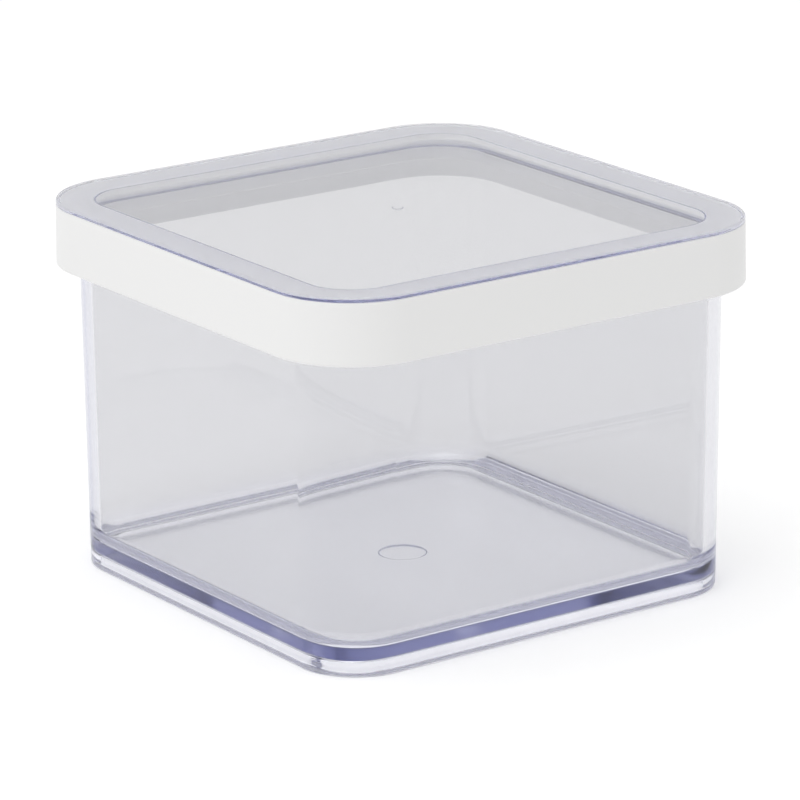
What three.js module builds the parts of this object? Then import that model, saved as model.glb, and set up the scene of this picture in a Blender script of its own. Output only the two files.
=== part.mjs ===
// A square food storage box: a clear moulded container under a lid that lifts off.
// The lid is a white frame with a clear plate let into its top, which shows the food, and a soft seal
// under its flange, which sits on the container's rim.
// Millimetres, +Z up. The origin is at the middle of the foot, on the surface that the box stands on.
import * as THREE from "three";

// Overall sizes of the closed box
const BOX_HEIGHT = 71.6;
const BASE_WIDTH = 91.8; // across the container's flat sides, at its foot
const BASE_CORNER = 12.2; // plan radius of the container's corners, at its foot
const LID_CORNER = 16.3; // plan radius of the lid's corners, at its top

// Container
const WALL = 1.8;
const WALL_DRAFT = THREE.MathUtils.degToRad(0.6); // the walls lean out, so the moulding leaves its tool
const INSIDE_CORNER = 11.05; // plan radius of the inside corners, which are a little thicker than the walls
const FLOOR = 1.85;
const FLOOR_FILLET = 4.0; // inside, between floor and walls
const FOOT_HEIGHT = 2.35; // the floor is held up on a foot that runs round the edge
const FOOT_WIDTH = 4.0;
const HOLLOW_CORNER = 6.5; // plan radius of the hollow inside the foot
const FOOT_FILLET = 0.6; // between the foot and the underside of the floor
const FOOT_EDGE = 0.5;
const RIM_EDGE = 0.4;
const GATE_RADIUS = 4.45; // round recess in the middle of the underside, where the plastic ran in
const GATE_DEPTH = 0.5;

// Lid frame
const SKIRT_WALL = 1.6;
const SKIRT_DROP = 12.6; // from the top of the lid to the skirt's lower edge
const SKIRT_DRAFT = THREE.MathUtils.degToRad(1.0);
const SKIRT_EDGE = 0.5;
const FRAME_RIM = 7.2; // from the lid's outer edge in to the window opening
const FLANGE = 1.8;
const UPSTAND = 0.5; // width of the low wall round the plate's pocket

// Lid window
const PLATE = 2.1;
const LIP = 0.85; // the plate's edge, which lies over the upstand
const LIP_EDGE = 0.45;
const PLUG = 0.6; // step under the plate that centres it in the window opening
const NUB_RADIUS = 1.0; // trimmed sprue in the middle of the plate's underside
const NUB_HEIGHT = 0.3;

// Lid seal
const SEAL = 1.5; // thickness of the pad on the container's rim
const SEAL_ROOM = 2.3; // between the container's rim and the inside of the skirt
const SEAL_LEG = 3.0; // how far the seal hangs down outside the rim
const SEAL_SETBACK = 1.0; // from the rim's inner side out to the pad

// Clearances
const SIDE_FIT = 0.15; // sideways, between pieces of the lid
const SEAT_FIT = 0.05; // between flat faces of the lid that rest on each other
const RIM_FIT = 0.1; // between the seal's pad and the container's rim
const GRIP_FIT = 0.2; // between the seal's leg and the container's wall

// Levels, from the top down
const LIP_Z = BOX_HEIGHT - LIP;
const PLATE_Z = BOX_HEIGHT - PLATE;
const POCKET_Z = PLATE_Z - SEAT_FIT;
const FLANGE_Z = POCKET_Z - FLANGE;
const PAD_Z = FLANGE_Z - SEAT_FIT - SEAL;
const RIM_Z = PAD_Z - RIM_FIT;
const SKIRT_Z = BOX_HEIGHT - SKIRT_DROP;
const FLOOR_Z = FOOT_HEIGHT + FLOOR;

// Half widths across the flat sides
const wallOutside = (z) => BASE_WIDTH / 2 + z * Math.tan(WALL_DRAFT);
const wallInside = (z) => wallOutside(z) - WALL;
const LID_HALF = wallOutside(RIM_Z) + SEAL_ROOM + SKIRT_WALL;
const skirtOutside = (z) => LID_HALF + (LIP_Z - z) * Math.tan(SKIRT_DRAFT);
const skirtInside = (z) => skirtOutside(z) - SKIRT_WALL;
const WINDOW_HALF = LID_HALF - FRAME_RIM;
const POCKET_HALF = LID_HALF - UPSTAND;
const HOLLOW_HALF = BASE_WIDTH / 2 - FOOT_WIDTH;

// How finely the corners and the rounded edges are cut
const CORNER_STEPS = 10;
const RING_POINTS = 4 * (CORNER_STEPS + 1);
const EDGE_STEPS = 3;
const FILLET_STEPS = 6;

// A loop round a square with rounded corners, anticlockwise seen from above.
function roundedSquare(half, corner, z) {
  const loop = [];
  for (let quarter = 0; quarter < 4; quarter++) {
    const centreX = (half - corner) * (quarter === 0 || quarter === 3 ? 1 : -1);
    const centreY = (half - corner) * (quarter < 2 ? 1 : -1);
    for (let step = 0; step <= CORNER_STEPS; step++) {
      const angle = ((quarter + step / CORNER_STEPS) * Math.PI) / 2;
      const x = centreX + corner * Math.cos(angle);
      const y = centreY + corner * Math.sin(angle);
      loop.push(new THREE.Vector3(x, y, z));
    }
  }
  return loop;
}

// Loops whose corners stay concentric with those of the container's outside, its inside, the hollow in its
// foot, or the lid.
const onContainer = ([half, z]) => roundedSquare(half, BASE_CORNER + half - BASE_WIDTH / 2, z);
const onInside = ([half, z]) => roundedSquare(half, INSIDE_CORNER + half - wallInside(FLOOR_Z), z);
const onHollow = ([half, z]) => roundedSquare(half, HOLLOW_CORNER + half - HOLLOW_HALF, z);
const onLid = ([half, z]) => roundedSquare(half, LID_CORNER + half - LID_HALF, z);

// A round loop with as many points as the square ones.
function circle(radius, z) {
  const pointAt = (_, i) => {
    const angle = ((i + 0.5) / RING_POINTS) * 2 * Math.PI;
    return new THREE.Vector3(radius * Math.cos(angle), radius * Math.sin(angle), z);
  };
  return Array.from({ length: RING_POINTS }, pointAt);
}

// Points of a section on an arc, as [half width, height], with angles in quarter turns.
function arc(centreHalf, centreZ, radius, from, to, steps = EDGE_STEPS) {
  const pointAt = (_, i) => {
    const angle = ((from + ((to - from) * i) / steps) * Math.PI) / 2;
    return [centreHalf + radius * Math.cos(angle), centreZ + radius * Math.sin(angle)];
  };
  return Array.from({ length: steps + 1 }, pointAt);
}

// A solid skinned over a row of loops. The row either closes on itself, as a ring does, or starts with
// a flat face that looks down and ends with one that looks up.
function skin(loops, closesOnItself) {
  const positions = loops.flat().flatMap((p) => [p.x, p.y, p.z]);
  const triangles = [];
  const bands = closesOnItself ? loops.length : loops.length - 1;
  for (let band = 0; band < bands; band++) {
    const lower = band * RING_POINTS;
    const upper = ((band + 1) % loops.length) * RING_POINTS;
    for (let i = 0; i < RING_POINTS; i++) {
      const next = (i + 1) % RING_POINTS;
      triangles.push(lower + i, lower + next, upper + next);
      triangles.push(lower + i, upper + next, upper + i);
    }
  }
  if (!closesOnItself) {
    const last = (loops.length - 1) * RING_POINTS;
    const below = positions.length / 3;
    const above = below + 1;
    positions.push(0, 0, loops[0][0].z, 0, 0, loops[loops.length - 1][0].z);
    for (let i = 0; i < RING_POINTS; i++) {
      const next = (i + 1) % RING_POINTS;
      triangles.push(below, next, i);
      triangles.push(above, last + i, last + next);
    }
  }
  const geometry = new THREE.BufferGeometry();
  geometry.setAttribute("position", new THREE.Float32BufferAttribute(positions, 3));
  geometry.setIndex(triangles);
  geometry.computeVertexNormals();
  return geometry;
}

// The tub: out under the floor, round the foot, up the outside, over the rim and down to the floor.
function containerGeometry() {
  const footInner = HOLLOW_HALF + FOOT_EDGE;
  const footOuter = wallOutside(FOOT_EDGE) - FOOT_EDGE;
  const rimOuter = wallOutside(RIM_Z) - RIM_EDGE;
  const rimInner = wallInside(RIM_Z) + RIM_EDGE;
  const filletZ = FLOOR_Z + FLOOR_FILLET;
  const gate = [circle(GATE_RADIUS, FOOT_HEIGHT + GATE_DEPTH), circle(GATE_RADIUS, FOOT_HEIGHT)];
  const hollow = [
    ...arc(HOLLOW_HALF - FOOT_FILLET, FOOT_HEIGHT - FOOT_FILLET, FOOT_FILLET, 1, 0),
    ...arc(footInner, FOOT_EDGE, FOOT_EDGE, 2, 3),
  ];
  const outside = [
    ...arc(footOuter, FOOT_EDGE, FOOT_EDGE, 3, 4),
    ...arc(rimOuter, RIM_Z - RIM_EDGE, RIM_EDGE, 0, 1),
  ];
  const inside = [
    ...arc(rimInner, RIM_Z - RIM_EDGE, RIM_EDGE, 1, 2),
    ...arc(wallInside(filletZ) - FLOOR_FILLET, filletZ, FLOOR_FILLET, 0, -1, FILLET_STEPS),
  ];
  const loops = [...gate, ...hollow.map(onHollow), ...outside.map(onContainer), ...inside.map(onInside)];
  return skin(loops, false);
}

// The white frame: up the outside of the skirt, over the upstand, down into the plate's pocket, in to
// the window opening and back under the flange.
function lidFrameGeometry() {
  const section = [
    ...arc(skirtOutside(SKIRT_Z) - SKIRT_EDGE, SKIRT_Z + SKIRT_EDGE, SKIRT_EDGE, 3, 4),
    [LID_HALF, LIP_Z - SEAT_FIT],
    [POCKET_HALF, LIP_Z - SEAT_FIT],
    [POCKET_HALF, POCKET_Z],
    [WINDOW_HALF, POCKET_Z],
    [WINDOW_HALF, FLANGE_Z],
    [skirtInside(FLANGE_Z), FLANGE_Z],
    [skirtInside(SKIRT_Z), SKIRT_Z],
  ];
  return skin(section.map(onLid), true);
}

// The clear plate: its plug, its underside in the pocket, its lip over the upstand and its flat top.
function lidWindowGeometry() {
  const plugZ = PLATE_Z - PLUG;
  const section = [
    [WINDOW_HALF - SIDE_FIT, plugZ],
    [WINDOW_HALF - SIDE_FIT, PLATE_Z],
    [POCKET_HALF - SIDE_FIT, PLATE_Z],
    [POCKET_HALF - SIDE_FIT, LIP_Z],
    [LID_HALF, LIP_Z],
    ...arc(LID_HALF - LIP_EDGE, BOX_HEIGHT - LIP_EDGE, LIP_EDGE, 0, 1),
  ];
  const nub = [circle(NUB_RADIUS, plugZ - NUB_HEIGHT), circle(NUB_RADIUS, plugZ)];
  return skin([...nub, ...section.map(onLid)], false);
}

// The soft seal: a pad on the container's rim and a leg that fills the gap inside the skirt.
function lidSealGeometry() {
  const padTop = FLANGE_Z - SEAT_FIT;
  const padInner = wallInside(RIM_Z) + SEAL_SETBACK;
  const legInner = wallOutside(RIM_Z) + GRIP_FIT;
  const legZ = RIM_Z - SEAL_LEG;
  const sealOutside = (z) => skirtInside(z) - SIDE_FIT;
  const loops = [
    onContainer([legInner, legZ]),
    onLid([sealOutside(legZ), legZ]),
    onLid([sealOutside(padTop), padTop]),
    onContainer([padInner, padTop]),
    onContainer([padInner, PAD_Z]),
    onContainer([legInner, PAD_Z]),
  ];
  return skin(loops, true);
}

const clearPlastic = new THREE.MeshStandardMaterial({
  color: 0xd8d9e6,
  roughness: 0.06,
  metalness: 0,
  transparent: true,
  opacity: 0.35,
});
const whitePlastic = new THREE.MeshStandardMaterial({ color: 0xf1f1ef, roughness: 0.35, metalness: 0 });
const softWhite = new THREE.MeshStandardMaterial({ color: 0xeeeeea, roughness: 0.7, metalness: 0 });

const box = new THREE.Group();

function addPiece(name, geometry, material) {
  const piece = new THREE.Mesh(geometry, material);
  piece.name = name;
  box.add(piece);
}

addPiece("container", containerGeometry(), clearPlastic);
addPiece("lid_frame", lidFrameGeometry(), whitePlastic);
addPiece("lid_window", lidWindowGeometry(), clearPlastic);
addPiece("lid_seal", lidSealGeometry(), softWhite);

export default box;
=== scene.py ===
# %% [markdown]
# A square food storage box: a clear moulded tub under a lid that lifts straight off. The lid is a white
# frame, a clear window let into its top, and a soft seal that sits on the tub's rim.
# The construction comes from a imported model, which fixes every size and place. This lesson keeps that
# model as a frame and makes the surfaces that the eye sees: smooth mouldings, clear plastic, white
# plastic. First the frame is loaded and measured, in metres, with +Z up.

# %% Load the frame
import math

import bpy
import numpy as np
from mathutils import Matrix, Vector


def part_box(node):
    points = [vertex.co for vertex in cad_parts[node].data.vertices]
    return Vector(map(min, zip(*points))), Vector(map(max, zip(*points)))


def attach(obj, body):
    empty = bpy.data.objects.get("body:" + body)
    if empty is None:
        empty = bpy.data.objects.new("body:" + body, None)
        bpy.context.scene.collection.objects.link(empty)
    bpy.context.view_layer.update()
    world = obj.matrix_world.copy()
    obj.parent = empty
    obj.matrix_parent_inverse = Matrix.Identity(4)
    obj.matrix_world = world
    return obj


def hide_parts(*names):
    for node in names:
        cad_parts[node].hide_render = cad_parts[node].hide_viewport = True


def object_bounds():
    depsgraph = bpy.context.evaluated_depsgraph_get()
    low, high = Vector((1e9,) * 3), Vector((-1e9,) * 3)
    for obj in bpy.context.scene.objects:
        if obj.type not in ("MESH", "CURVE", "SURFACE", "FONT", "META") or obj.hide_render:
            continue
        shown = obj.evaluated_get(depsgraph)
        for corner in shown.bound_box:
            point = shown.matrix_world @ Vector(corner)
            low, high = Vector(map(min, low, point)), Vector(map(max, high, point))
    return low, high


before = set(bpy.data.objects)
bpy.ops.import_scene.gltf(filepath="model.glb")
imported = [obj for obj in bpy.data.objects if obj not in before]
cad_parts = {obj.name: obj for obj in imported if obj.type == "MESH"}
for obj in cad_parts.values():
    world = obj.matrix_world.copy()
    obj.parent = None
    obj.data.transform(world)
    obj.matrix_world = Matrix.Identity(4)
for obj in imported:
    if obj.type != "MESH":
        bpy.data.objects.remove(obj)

cad_low, cad_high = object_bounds()
MM = 0.001
print("frame holds", sorted(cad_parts), "and spans", [round(s, 4) for s in cad_high - cad_low])

# %% [markdown]
# The camera looks at the box from a little above, with a long lens, so that its upright edges stay almost
# parallel. A camera could be aimed with a Track To constraint, but a constraint can't hold a small roll, so
# its matrix is written from three directions: right, up and back.

# %% Place the camera
CAMERA_AZIMUTH = math.radians(-35.341)
CAMERA_ELEVATION = math.radians(16.922)
CAMERA_ROLL = math.radians(-0.484)
CAMERA_DISTANCE = 920 * MM
CAMERA_AIM = Vector((0.07, -0.13, 33.7)) * MM
LENS = 220.5  # millimetres of focal length, on a sensor 36 mm wide


def towards(azimuth, elevation):
    """Unit vector from the box to a point in the room: azimuth 0 lies along -Y and turns towards +X."""
    level = math.cos(elevation)
    return Vector((math.sin(azimuth) * level, -math.cos(azimuth) * level, math.sin(elevation)))


def place_camera():
    """A camera that looks from its direction at the aim, turned by the roll about its line of sight."""
    back = towards(CAMERA_AZIMUTH, CAMERA_ELEVATION)
    right = Vector((math.cos(CAMERA_AZIMUTH), math.sin(CAMERA_AZIMUTH), 0))
    up = back.cross(right)
    turned_right = right * math.cos(CAMERA_ROLL) + up * math.sin(CAMERA_ROLL)
    turned_up = up * math.cos(CAMERA_ROLL) - right * math.sin(CAMERA_ROLL)
    camera = bpy.data.objects.new("camera", bpy.data.cameras.new("camera"))
    camera.data.lens = LENS
    camera.data.clip_start = 10 * MM
    turn = Matrix((turned_right, turned_up, back)).transposed()
    camera.matrix_world = Matrix.Translation(CAMERA_AIM + back * CAMERA_DISTANCE) @ turn.to_4x4()
    bpy.context.scene.collection.objects.link(camera)
    bpy.context.scene.camera = camera
    return camera


camera = place_camera()
print("camera stands at", [round(x, 3) for x in camera.matrix_world.translation])

# %% [markdown]
# Clear plastic has no look of its own: it shows the room. So the studio comes before the pieces. It is a
# wide pale floor, an even world and two large soft lamps. The floor lies a hair below the foot, because
# clear plastic that shares a face with the floor would show flicker where the two meet. More lamps would
# make the floor white, but would bleach the white lid too. So the floor shows a faint glow instead, only to
# the camera and to rays that come off or through the plastic, and no light from it falls on the box.

# %% Lay the floor
FLOOR_REACH = 4.0  # metres from the box to each side of the floor
FLOOR_TONE = 0.88
FLOOR_GLOW = 0.2
FLOOR_GAP = 0.05 * MM


def floor_material():
    """Matt white, plus a glow that only the camera and rays off or through a piece can see."""
    material = bpy.data.materials.new("studio floor")
    material.use_nodes = True
    nodes, links = material.node_tree.nodes, material.node_tree.links
    nodes.clear()
    matt = nodes.new("ShaderNodeBsdfDiffuse")
    matt.inputs["Color"].default_value = (FLOOR_TONE, FLOOR_TONE, FLOOR_TONE, 1)
    rays = nodes.new("ShaderNodeLightPath")
    seen = rays.outputs["Is Camera Ray"]
    for kind in ("Is Glossy Ray", "Is Transmission Ray"):
        either = nodes.new("ShaderNodeMath")
        either.operation = "MAXIMUM"
        links.new(seen, either.inputs[0])
        links.new(rays.outputs[kind], either.inputs[1])
        seen = either.outputs[0]
    strength = nodes.new("ShaderNodeMath")
    strength.operation = "MULTIPLY"
    strength.inputs[1].default_value = FLOOR_GLOW
    links.new(seen, strength.inputs[0])
    glow = nodes.new("ShaderNodeEmission")
    links.new(strength.outputs[0], glow.inputs["Strength"])
    both = nodes.new("ShaderNodeAddShader")
    links.new(matt.outputs[0], both.inputs[0])
    links.new(glow.outputs[0], both.inputs[1])
    links.new(both.outputs[0], nodes.new("ShaderNodeOutputMaterial").inputs["Surface"])
    material.cycles.emission_sampling = "NONE"
    return material


floor_mesh = bpy.data.meshes.new("floor")
floor_signs = ((-1, -1), (1, -1), (1, 1), (-1, 1))
floor_corners = [(x * FLOOR_REACH, y * FLOOR_REACH, cad_low.z - FLOOR_GAP) for x, y in floor_signs]
floor_mesh.from_pydata(floor_corners, [], [(0, 1, 2, 3)])
floor_mesh.materials.append(floor_material())
floor = bpy.data.objects.new("floor", floor_mesh)
bpy.context.scene.collection.objects.link(floor)
print("floor is", 2 * FLOOR_REACH, "m wide")

# %% [markdown]
# One lamp stands to the left and makes the left skirt brighter than the right one. The other hangs above and
# lights the lid. A sun lamp would throw hard shadows, so both are wide area lamps, and the world fills in
# the rest. Light has to cross many clear faces to get in and out of the box, so it may turn often.

# %% Hang the lamps
WORLD_LEVEL = 0.65
BOUNCES = 48


def softbox(name, azimuth, elevation, distance, width, height, level):
    """A rectangular lamp that faces the box. Its level is the brightness of its face, where 1 is white, so
    its power is that level times pi times its area."""
    data = bpy.data.lights.new(name, "AREA")
    data.shape = "RECTANGLE"
    data.size = width
    data.size_y = height
    data.energy = level * math.pi * width * height
    lamp = bpy.data.objects.new(name, data)
    outward = towards(math.radians(azimuth), math.radians(elevation))
    lamp.location = outward * distance
    lamp.rotation_euler = outward.to_track_quat("Z", "Y").to_euler()
    bpy.context.scene.collection.objects.link(lamp)
    print(name, "lamp gives", round(data.energy, 1), "W")


world = bpy.data.worlds.new("studio")
world.use_nodes = True
world.node_tree.nodes["Background"].inputs["Color"].default_value = (1, 1, 1, 1)
world.node_tree.nodes["Background"].inputs["Strength"].default_value = WORLD_LEVEL
bpy.context.scene.world = world
softbox("front left", azimuth=-85, elevation=35, distance=1.8, width=1.4, height=1.0, level=0.8)
softbox("overhead", azimuth=-80, elevation=82, distance=1.7, width=1.2, height=1.2, level=2.2)

scene = bpy.context.scene
scene.view_settings.view_transform = "Standard"
scene.cycles.max_bounces = BOUNCES
scene.cycles.transmission_bounces = BOUNCES
scene.cycles.glossy_bounces = BOUNCES
scene.cycles.blur_glossy = 0  # light that comes in through the plastic stays sharp

# %% [markdown]
# Every moulding of this box is the same kind of shape: one section carried round a square with rounded
# corners. Such a ring is a small square that is grown outwards by an equal distance on every side. A Bevel
# modifier on a cube would give the corners, but not a wall, a lip or a groove. A section drawn as a few
# corner points, each with its own rounding and its own small square, does.

# %% Round a section's corners
ARC_STEPS = 8
STRAIGHT = 1e-6  # a turn under this angle, in radians, needs no arc


def rounded_outline(corners, closed):
    """Carries a point along a section of straight runs and round its corners.

    A corner is (half width, height, rounding, small square). A run that turns by an angle at a corner
    leaves it early by the rounding times the tangent of half that angle, and follows an arc that touches
    both runs. An open section keeps its two end points. The material lies to the left of the way along it,
    so the normal is the direction of travel turned a quarter to the right. Returns points, normals and
    squares, as rows.
    """
    places = np.array([corner[:2] for corner in corners])
    points, normals, squares = [], [], []
    for i, (_, _, rounding, square) in enumerate(corners):
        before = places[i] - places[i - 1]
        after = places[(i + 1) % len(places)] - places[i]
        if not closed and i == 0:
            before = after
        if not closed and i == len(places) - 1:
            after = before
        from_angle = np.arctan2(before[1], before[0])
        turn = np.arctan2(after[1], after[0]) - from_angle
        turn = (turn + np.pi) % (2 * np.pi) - np.pi
        steps = ARC_STEPS if abs(turn) > STRAIGHT else 0
        headings = from_angle + turn * np.linspace(0, 1, steps + 1)
        right = np.stack([np.sin(headings), -np.cos(headings)], axis=1)
        side = np.sign(turn)
        start = places[i] - rounding * np.tan(abs(turn) / 2) * before / np.linalg.norm(before)
        centre = start - side * rounding * right[0]
        points.append(centre + side * rounding * right)
        normals.append(right)
        squares.append(np.full(steps + 1, square))
    return np.concatenate(points), np.concatenate(normals), np.concatenate(squares)


# %% [markdown]
# The section now goes round the square. Its points become rings, and neighbouring rings are joined by
# four-sided faces. The formula also gives the exact normal at every point, which Blender takes as a custom
# normal: clear plastic bends light by its normals, so normals averaged from flat faces would show as facets.

# %% Carry a section round the square
CORNER_STEPS = 32
ROUND = 0.02 * MM  # a small square so small that its rings are round


def carried_round(section, closed):
    """Carries a section round a square with rounded corners and returns vertices, normals and faces.

    Parameter one runs along the section, to a half width h, a height z and a small square of half width s.
    Parameter two runs round the square: at a corner with signs (p, q) it turns through angles a. The point
    is (p, q) times s, plus (h minus s) times (cos a, sin a), at height z. An end of an open section on the
    axis closes with a fan.
    """
    outline, outline_normals, squares = rounded_outline(section, closed)
    quarter, share = np.divmod(np.arange(4 * (CORNER_STEPS + 1)), CORNER_STEPS + 1)
    angle = (quarter + share / CORNER_STEPS) * np.pi / 2
    around = np.stack([np.cos(angle), np.sin(angle)], axis=1)
    middle = (quarter + 0.5) * np.pi / 2
    signs = np.sign(np.stack([np.cos(middle), np.sin(middle)], axis=1))

    square = squares[:, None, None]
    plan = signs * square + around * (outline[:, 0, None, None] - square)
    height = np.broadcast_to(outline[:, 1, None, None], plan[:, :, :1].shape)
    points = np.concatenate([plan, height], axis=2)
    facing = around * outline_normals[:, 0, None, None]
    rise = np.broadcast_to(outline_normals[:, 1, None, None], height.shape)
    normals = np.concatenate([facing, rise], axis=2)

    rings, count = plan.shape[:2]
    index = np.arange(rings * count).reshape(rings, count)
    points, normals = points.reshape(-1, 3), normals.reshape(-1, 3)
    if not closed:
        kept = np.r_[0, count:rings * count - count + 1]
        points, normals = points[kept], normals[kept]
        points[[0, -1], :2] = 0
        index = np.clip(index - count + 1, 0, len(kept) - 1)
    last = rings if closed else rings - 1
    low, high = index[:last], np.roll(index, -1, axis=0)[:last]
    quads = np.stack([low, np.roll(low, -1, 1), np.roll(high, -1, 1), high], axis=-1)
    if closed:
        return points, normals, quads.reshape(-1, 4).tolist()
    fans = quads[0][:, [0, 2, 3]].tolist() + quads[-1][:, :3].tolist()
    return points, normals, fans + quads[1:-1].reshape(-1, 4).tolist()


def moulding(name, section, closed):
    """A piece made of one section carried round a square. Its normals are the formula's own."""
    vertices, normals, faces = carried_round(section, closed)
    mesh = bpy.data.meshes.new(name)
    mesh.from_pydata(vertices.tolist(), [], faces)
    mesh.shade_smooth()
    mesh.normals_split_custom_set_from_vertices(normals.tolist())
    piece = bpy.data.objects.new(name, mesh)
    bpy.context.scene.collection.objects.link(piece)
    print(name, "has", len(vertices), "vertices and", len(faces), "faces")
    return piece


# %% [markdown]
# The tub is moulded in one shot from clear, faintly blue plastic. Its walls lean out a little so that it
# leaves the tool, its floor stands on a foot, and a shallow round recess under the middle is where the
# plastic ran in. Its corners are thicker than its walls. All of its edges are rounded, because in clear
# plastic the edges are what shows.

# %% Mould the tub
_, tub_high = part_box("container")
RIM_Z = tub_high.z
RIM_HALF = tub_high.x
BASE_CORNER = 12.2 * MM
INNER_CORNER = 11.05 * MM
HOLLOW_CORNER = 6.5 * MM
WALL_DRAFT = math.tan(math.radians(0.6))
WALL = 1.8 * MM
FOOT_HEIGHT = 2.35 * MM
FLOOR_TOP = FOOT_HEIGHT + 1.85 * MM
FLOOR_FILLET = 4.0 * MM
FOOT_WIDTH = 4.0 * MM
FOOT_FILLET = 0.6 * MM
FOOT_EDGE = 0.5 * MM
RIM_EDGE = 0.4 * MM
GATE_RADIUS = 4.45 * MM
GATE_DEPTH = 0.5 * MM
GATE_EDGE = 0.15 * MM


def wall_outside(z):
    """Half the tub's width outside, which shrinks below the rim by the draft."""
    return RIM_HALF - (RIM_Z - z) * WALL_DRAFT


def wall_inside(z):
    """Half the tub's width inside: the outside less the wall."""
    return wall_outside(z) - WALL


hollow = wall_outside(0) - FOOT_WIDTH
outer_square = wall_outside(0) - BASE_CORNER
inner_square = wall_inside(FLOOR_TOP) - INNER_CORNER
hollow_square = hollow - HOLLOW_CORNER
gate_z = FOOT_HEIGHT + GATE_DEPTH
tub_section = [
    (0, gate_z, 0, ROUND),
    (GATE_RADIUS, gate_z, GATE_EDGE, ROUND),
    (GATE_RADIUS, FOOT_HEIGHT, GATE_EDGE, ROUND),
    (hollow, FOOT_HEIGHT, FOOT_FILLET, hollow_square),
    (hollow, 0, FOOT_EDGE, hollow_square),
    (wall_outside(0), 0, FOOT_EDGE, outer_square),
    (wall_outside(RIM_Z), RIM_Z, RIM_EDGE, outer_square),
    (wall_inside(RIM_Z), RIM_Z, RIM_EDGE, inner_square),
    (wall_inside(FLOOR_TOP), FLOOR_TOP, FLOOR_FILLET, inner_square),
    (0, FLOOR_TOP, 0, ROUND),
]
tub = moulding("clear_tub", tub_section, False)

# %% [markdown]
# The white frame is the part of the lid that a hand grips. Its skirt hangs outside the tub's rim, a flange
# runs in over the seal, and a shallow pocket in its top takes the clear window.

# %% Mould the lid frame
frame_low, frame_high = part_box("lid_frame")
window_low, window_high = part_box("lid_window")
seal_low, seal_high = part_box("lid_seal")
LID_CORNER = 16.3 * MM
LID_HALF = window_high.x
SKIRT_WALL = 1.6 * MM
FRAME_RIM = 7.2 * MM
UPSTAND = 0.5 * MM
PLATE = 2.1 * MM
SIDE_FIT = 0.15 * MM
SEAT_FIT = 0.05 * MM
SKIRT_EDGE = 0.5 * MM
UPSTAND_EDGE = 0.12 * MM
POCKET_FILLET = 0.2 * MM
OPENING_EDGE = 0.3 * MM
FLANGE_FILLET = 0.8 * MM

lid_top = window_high.z
plate_z = lid_top - PLATE
pocket_z = plate_z - SEAT_FIT
skirt_z = frame_low.z
upstand_z = frame_high.z
flange_z = seal_high.z + SEAT_FIT
SKIRT_DRAFT = (frame_high.x - LID_HALF) / (upstand_z + SEAT_FIT - skirt_z)


def skirt_outside(z):
    """Half the lid's width at a height of its skirt, which grows downwards by the draft."""
    return LID_HALF + (upstand_z + SEAT_FIT - z) * SKIRT_DRAFT


def skirt_inside(z):
    """Half the room inside the skirt."""
    return skirt_outside(z) - SKIRT_WALL


lid_square = LID_HALF - LID_CORNER
opening = LID_HALF - FRAME_RIM
pocket = LID_HALF - UPSTAND
frame_section = [
    (skirt_outside(skirt_z), skirt_z, SKIRT_EDGE, lid_square),
    (skirt_outside(upstand_z), upstand_z, UPSTAND_EDGE, lid_square),
    (pocket, upstand_z, UPSTAND_EDGE, lid_square),
    (pocket, pocket_z, POCKET_FILLET, lid_square),
    (opening, pocket_z, OPENING_EDGE, lid_square),
    (opening, flange_z, OPENING_EDGE, lid_square),
    (skirt_inside(flange_z), flange_z, FLANGE_FILLET, lid_square),
    (skirt_inside(skirt_z), skirt_z, SKIRT_EDGE, lid_square),
]
lid_frame = moulding("white_lid_frame", frame_section, True)

# %% [markdown]
# The window is a flat clear plate that covers the whole lid and is moulded onto the frame. So its underside
# is sunk a hair into the frame's pocket: with air between them, light would stay trapped in the plate and
# its whole edge would turn dark. Only the lower part of its lip, over the frame's upstand, shows as a dark
# line. A step under the plate drops into the frame's opening, and a small nub under its middle is left from
# where the plastic ran in.

# %% Mould the window
PLUG = 0.6 * MM
NUB_RADIUS = 1.0 * MM
LIP_EDGE = 0.45 * MM
WELD = 0.02 * MM
NUB_EDGE = 0.12 * MM
PLUG_EDGE = 0.2 * MM
PLUG_FILLET = 0.15 * MM
LIP_FILLET = 0.12 * MM
LIP_LOW_EDGE = 0.06 * MM

plug_z = plate_z - PLUG
lip_z = upstand_z + SEAT_FIT
weld_z = pocket_z - WELD
window_section = [
    (0, window_low.z, 0, ROUND),
    (NUB_RADIUS, window_low.z, NUB_EDGE, ROUND),
    (NUB_RADIUS, plug_z, NUB_EDGE, ROUND),
    (opening - SIDE_FIT, plug_z, PLUG_EDGE, lid_square),
    (opening - SIDE_FIT, weld_z, PLUG_FILLET, lid_square),
    (pocket - SIDE_FIT, weld_z, PLUG_EDGE, lid_square),
    (pocket - SIDE_FIT, lip_z, LIP_FILLET, lid_square),
    (LID_HALF, lip_z, LIP_LOW_EDGE, lid_square),
    (LID_HALF, lid_top, LIP_EDGE, lid_square),
    (0, lid_top, 0, ROUND),
]
window = moulding("clear_lid_window", window_section, False)

# %% [markdown]
# The seal is a soft white ring with an L-shaped section. Its pad lies on the tub's rim and its leg fills
# the gap between the tub's wall and the skirt. It shows from below, and faintly through the clear plastic.

# %% Mould the seal
SEAL_PAD = 1.5 * MM
GRIP_FIT = 0.2 * MM
SEAL_SETBACK = 1.0 * MM
SEAL_EDGE = 0.4 * MM
SEAL_CREASE = 0.3 * MM

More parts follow.
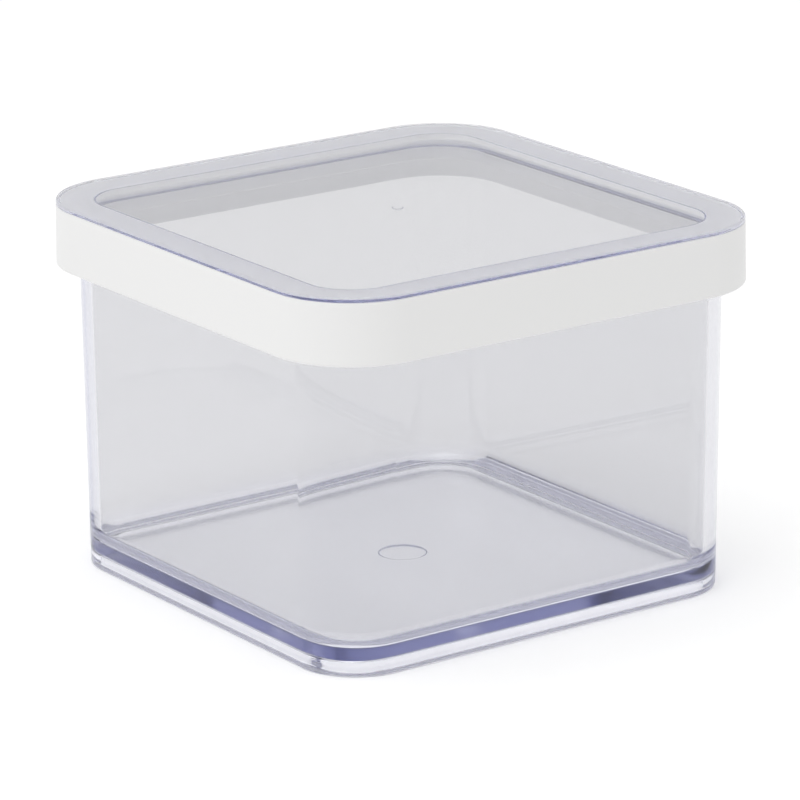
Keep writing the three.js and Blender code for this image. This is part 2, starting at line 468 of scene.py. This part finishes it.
seal_outside = seal_high.x
leg_inside = RIM_HALF + GRIP_FIT
pad_inside = wall_inside(RIM_Z) + SEAL_SETBACK
pad_z = seal_high.z - SEAL_PAD
seal_section = [
    (leg_inside, seal_low.z, SEAL_EDGE, outer_square),
    (seal_outside, seal_low.z, SEAL_EDGE, lid_square),
    (skirt_inside(seal_high.z) - SIDE_FIT, seal_high.z, SEAL_CREASE, lid_square),
    (pad_inside, seal_high.z, SEAL_EDGE, outer_square),
    (pad_inside, pad_z, SEAL_EDGE, outer_square),
    (leg_inside, pad_z, SEAL_CREASE, outer_square),
]
seal = moulding("soft_lid_seal", seal_section, True)

# %% [markdown]
# Clear plastic is one shader with full transmission and the plastic's own index of refraction. Its tint is
# not a surface colour: it is absorption along the way through, so a thin wall looks clear and a long look
# along the floor looks blue. Shade is painted into the surface colour too: the walls are painted greyer
# than the floor and the rim, a painted shade that changes with height and stands in for the shaded floor
# and dim room seen through them, and the window's underside is painted a little grey, its top clear. The
# tub's underside has a fine matt texture that hides scratches and spreads the light trapped in the floor.
# An uneven polish keeps the rest from looking like optical glass.

# %% Make the clear plastic
PLASTIC_IOR = 1.57
WALL_PAINTED_SHADE = 0.825  # painted shade on a wall's faces: the share of light they let through, where 1 takes nothing from the light
BASE_PAINTED_SHADE = 0.99  # and those of the floor and the foot
RIM_PAINTED_SHADE = 0.9  # and those of a wall near the rim
PANE_LOW_PAINTED_SHADE = 0.93  # and the window's underside
PANE_TOP_PAINTED_SHADE = 1.0  # and its top
RIM_FADE = 6 * MM
UNDERSIDE_ROUGHNESS = 0.12
FOOT_ROUGHNESS = 0.8
PAINTED_SHADE_BLUE = 1.005  # the painted shade lets through a little more blue, as the plastic's tint does
TUB_TINT = 15
PANE_TINT = 8
TINT = (0.05, 0.09, 0.55, 1)
POLISH_SCALE = 60
POLISH_DETAIL = 3
POLISH_ROUGHNESS = 0.02


def new_material(name):
    """A material with its nodes, its links and its shader."""
    material = bpy.data.materials.new(name)
    material.use_nodes = True
    nodes = material.node_tree.nodes
    return material, nodes, material.node_tree.links, nodes["Principled BSDF"]


def noise_on_object(nodes, links, scale, detail):
    """A noise pattern fixed to the piece, with so many features to a metre."""
    place = nodes.new("ShaderNodeTexCoord")
    noise = nodes.new("ShaderNodeTexNoise")
    noise.inputs["Scale"].default_value = scale
    noise.inputs["Detail"].default_value = detail
    links.new(place.outputs["Object"], noise.inputs["Vector"])
    return noise


def spread(nodes, links, source, low, high):
    """Maps a pattern's 0 to 1 onto a range of values."""
    ranged = nodes.new("ShaderNodeMapRange")
    ranged.inputs["To Min"].default_value = low
    ranged.inputs["To Max"].default_value = high
    links.new(source, ranged.inputs["Value"])
    return ranged.outputs["Result"]


def clear_plastic(name, density):
    """Clear plastic with an uneven polish and a tint that deepens along the way through it."""
    material, nodes, links, shader = new_material(name)
    shader.inputs["Transmission Weight"].default_value = 1
    shader.inputs["IOR"].default_value = PLASTIC_IOR
    polish = noise_on_object(nodes, links, POLISH_SCALE, POLISH_DETAIL)
    uneven = spread(nodes, links, polish.outputs["Fac"], 0, POLISH_ROUGHNESS)
    links.new(uneven, shader.inputs["Roughness"])
    tint = nodes.new("ShaderNodeVolumeAbsorption")
    tint.inputs["Color"].default_value = TINT
    tint.inputs["Density"].default_value = density
    links.new(tint.outputs[0], nodes["Material Output"].inputs["Volume"])
    return material


def painted_shade_by_height(material, top, stops):
    """Paints shade into a colour by height, a share of a top height. A stop is (height, light let through).
    """
    nodes, links = material.node_tree.nodes, material.node_tree.links
    place = nodes.new("ShaderNodeTexCoord")
    axes = nodes.new("ShaderNodeSeparateXYZ")
    links.new(place.outputs["Object"], axes.inputs[0])
    rise = nodes.new("ShaderNodeMapRange")
    rise.inputs["From Max"].default_value = top
    links.new(axes.outputs["Z"], rise.inputs["Value"])
    ramp = nodes.new("ShaderNodeValToRGB")
    for height, shade_level in stops:
        stop = ramp.color_ramp.elements.new(height / top)
        stop.color = (shade_level, shade_level, shade_level * PAINTED_SHADE_BLUE, 1)
    ramp.color_ramp.elements.remove(ramp.color_ramp.elements[0])
    ramp.color_ramp.elements.remove(ramp.color_ramp.elements[-1])
    links.new(rise.outputs["Result"], ramp.inputs["Fac"])
    links.new(ramp.outputs["Color"], nodes["Principled BSDF"].inputs["Base Color"])


def join(nodes, links, operation, first, second):
    """One Math node on an output and either another output or a number."""
    node = nodes.new("ShaderNodeMath")
    node.operation = operation
    links.new(first, node.inputs[0])
    if isinstance(second, bpy.types.NodeSocket):
        links.new(second, node.inputs[1])
    else:
        node.inputs[1].default_value = second
    return node.outputs[0]


def matt_underside(material, top, roughness):
    """Roughens level faces below a height. A face seen from inside has its normal turned over, so the size
    of the normal's height is used, without its sign."""
    nodes, links = material.node_tree.nodes, material.node_tree.links
    place = nodes.new("ShaderNodeTexCoord")
    height = nodes.new("ShaderNodeSeparateXYZ")
    tilt = nodes.new("ShaderNodeSeparateXYZ")
    links.new(place.outputs["Object"], height.inputs[0])
    links.new(place.outputs["Normal"], tilt.inputs[0])
    below = join(nodes, links, "LESS_THAN", height.outputs["Z"], top)
    level = join(nodes, links, "POWER", tilt.outputs["Z"], 2)
    matt = join(nodes, links, "MULTIPLY", join(nodes, links, "MULTIPLY", below, level), roughness)
    socket = nodes["Principled BSDF"].inputs["Roughness"]
    links.new(join(nodes, links, "MAXIMUM", matt, socket.links[0].from_socket), socket)


tub_plastic = clear_plastic("clear tub plastic", TUB_TINT)
matt_underside(tub_plastic, (FOOT_HEIGHT + FLOOR_TOP) / 2, UNDERSIDE_ROUGHNESS)
matt_underside(tub_plastic, FOOT_HEIGHT / 2, FOOT_ROUGHNESS)
# painted shade: walls greyer than floor and rim, for the shaded floor and dim room seen through them
painted_shade_by_height(tub_plastic, RIM_Z, [
    (FLOOR_TOP, BASE_PAINTED_SHADE),
    (FLOOR_TOP + FLOOR_FILLET, WALL_PAINTED_SHADE),
    (skirt_z, WALL_PAINTED_SHADE),
    (skirt_z + RIM_FADE, RIM_PAINTED_SHADE),
])
tub.data.materials.append(tub_plastic)
pane_plastic = clear_plastic("clear window plastic", PANE_TINT)
# painted shade: the window's underside painted a little grey, its top left clear
pane_painted_shade_stops = [(lip_z, PANE_LOW_PAINTED_SHADE), (lid_top - LIP_EDGE, PANE_TOP_PAINTED_SHADE)]
painted_shade_by_height(pane_plastic, lid_top, pane_painted_shade_stops)
window.data.materials.append(pane_plastic)
print("clear plastic on", tub.name, "and", window.name)

# %% [markdown]
# White plastic with a satin face: light goes a little way in, so its white is soft, and the tool's fine
# texture breaks up its gloss. The seal is softer and matt.

# %% Make the white plastics
FRAME_WHITE = (0.945, 0.945, 0.94)
SEAL_WHITE = (0.945, 0.945, 0.935)
CLOUD_SCALE = 35
CLOUD_DETAIL = 4
CLOUD_SHADE = 0.985  # the darkest cloud's share of the white
GRAIN_DETAIL = 2
GRAIN_SPREAD = 0.05
GRAIN_STRENGTH = 0.2


def white_plastic(name, colour, roughness, grain, depth):
    """White plastic with faint clouds in its colour, and a fine grain of so many features to a metre."""
    material, nodes, links, shader = new_material(name)
    shade = noise_on_object(nodes, links, CLOUD_SCALE, CLOUD_DETAIL)
    tone = nodes.new("ShaderNodeMix")
    tone.data_type = "RGBA"
    tone.inputs["A"].default_value = (*(c * CLOUD_SHADE for c in colour), 1)
    tone.inputs["B"].default_value = (*colour, 1)
    links.new(shade.outputs["Fac"], tone.inputs["Factor"])
    links.new(tone.outputs["Result"], shader.inputs["Base Color"])
    texture = noise_on_object(nodes, links, grain, GRAIN_DETAIL)
    low, high = roughness - GRAIN_SPREAD, roughness + GRAIN_SPREAD
    links.new(spread(nodes, links, texture.outputs["Fac"], low, high), shader.inputs["Roughness"])
    bump = nodes.new("ShaderNodeBump")
    bump.inputs["Strength"].default_value = GRAIN_STRENGTH
    bump.inputs["Distance"].default_value = depth
    links.new(texture.outputs["Fac"], bump.inputs["Height"])
    links.new(bump.outputs["Normal"], shader.inputs["Normal"])
    return material


satin = white_plastic("satin white plastic", FRAME_WHITE, roughness=0.38, grain=1800, depth=0.02 * MM)
lid_frame.data.materials.append(satin)
soft = white_plastic("soft white seal", SEAL_WHITE, roughness=0.6, grain=900, depth=0.05 * MM)
seal.data.materials.append(soft)
print("white plastics on", lid_frame.name, "and", seal.name)

# %% [markdown]
# Each piece now stands for its solid in the frame and moves with its body, so the lid lifts as one.

# %% Hand the pieces to the frame
for piece, node, body, slot in (
    (tub, "container", "box", "clear_body"),
    (lid_frame, "lid_frame", "lid", "white_frame"),
    (window, "lid_window", "lid", "clear_window"),
    (seal, "lid_seal", "lid", "soft_seal"),
):
    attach(piece, body)
    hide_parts(node)
